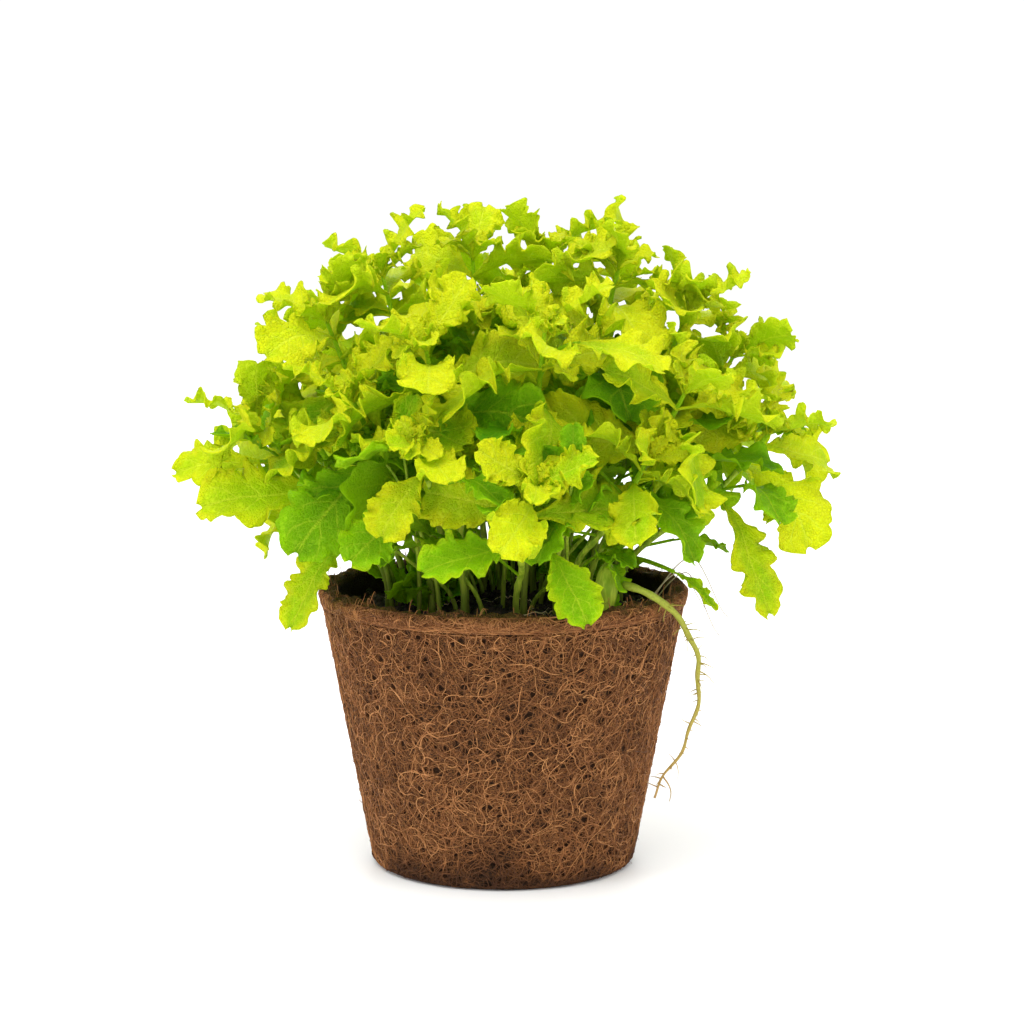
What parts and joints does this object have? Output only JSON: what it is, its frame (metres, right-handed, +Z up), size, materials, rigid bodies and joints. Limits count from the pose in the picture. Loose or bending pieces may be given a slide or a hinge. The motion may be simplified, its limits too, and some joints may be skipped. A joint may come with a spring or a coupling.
{
  "type": "potted alternanthera",
  "caption": "Bushy chartreuse alternanthera with frilly leaves, growing in a flared coir-fibre pot with one root trailing over the rim.",
  "frame": {"origin": "middle of the pot's flat underside, where it stands", "axes": "+Z up along the pot's axis; -Y is the front, where the trailing root hangs to the right (+X)"},
  "size_m": [0.2102, 0.1876, 0.2149],
  "materials": {
    "coir": "pressed coconut fibre, matt",
    "soil": "dark moist peat compost",
    "stem": "pale green, smooth, slightly waxy",
    "root": "green turning to pale tan at the tip, hairy",
    "leaf": "chartreuse, thin, veined and translucent, satin"
  },
  "bodies": {
    "root": {"pot": "coir", "soil": "soil", "swollen_base": "stem", "trailing_root": "root", "stem_01": "stem", "stem_02": "stem", "stem_03": "stem", "stem_04": "stem", "stem_05": "stem", "stem_06": "stem", "stem_07": "stem", "stem_08": "stem", "stem_09": "stem", "stem_10": "stem", "stem_11": "stem", "stem_12": "stem", "stem_13": "stem", "stem_14": "stem", "stem_15": "stem", "stem_16": "stem", "stem_17": "stem", "stem_18": "stem", "stem_19": "stem", "stem_20": "stem", "stem_21": "stem", "stem_22": "stem", "stem_23": "stem", "leaf_01": "leaf", "leaf_02": "leaf", "leaf_03": "leaf", "leaf_04": "leaf", "leaf_05": "leaf", "leaf_06": "leaf", "leaf_07": "leaf", "leaf_08": "leaf", "leaf_09": "leaf", "leaf_10": "leaf", "crown_01": "leaf", "crown_02": "leaf", "crown_03": "leaf", "crown_04": "leaf", "crown_05": "leaf", "crown_06": "leaf", "crown_07": "leaf", "crown_08": "leaf", "crown_09": "leaf", "crown_10": "leaf", "crown_11": "leaf", "crown_12": "leaf", "crown_13": "leaf", "crown_14": "leaf", "crown_15": "leaf", "crown_16": "leaf", "crown_17": "leaf", "crown_18": "leaf", "crown_19": "leaf", "crown_20": "leaf", "crown_21": "leaf", "crown_22": "leaf", "crown_23": "leaf"}
  },
  "joints": []
}
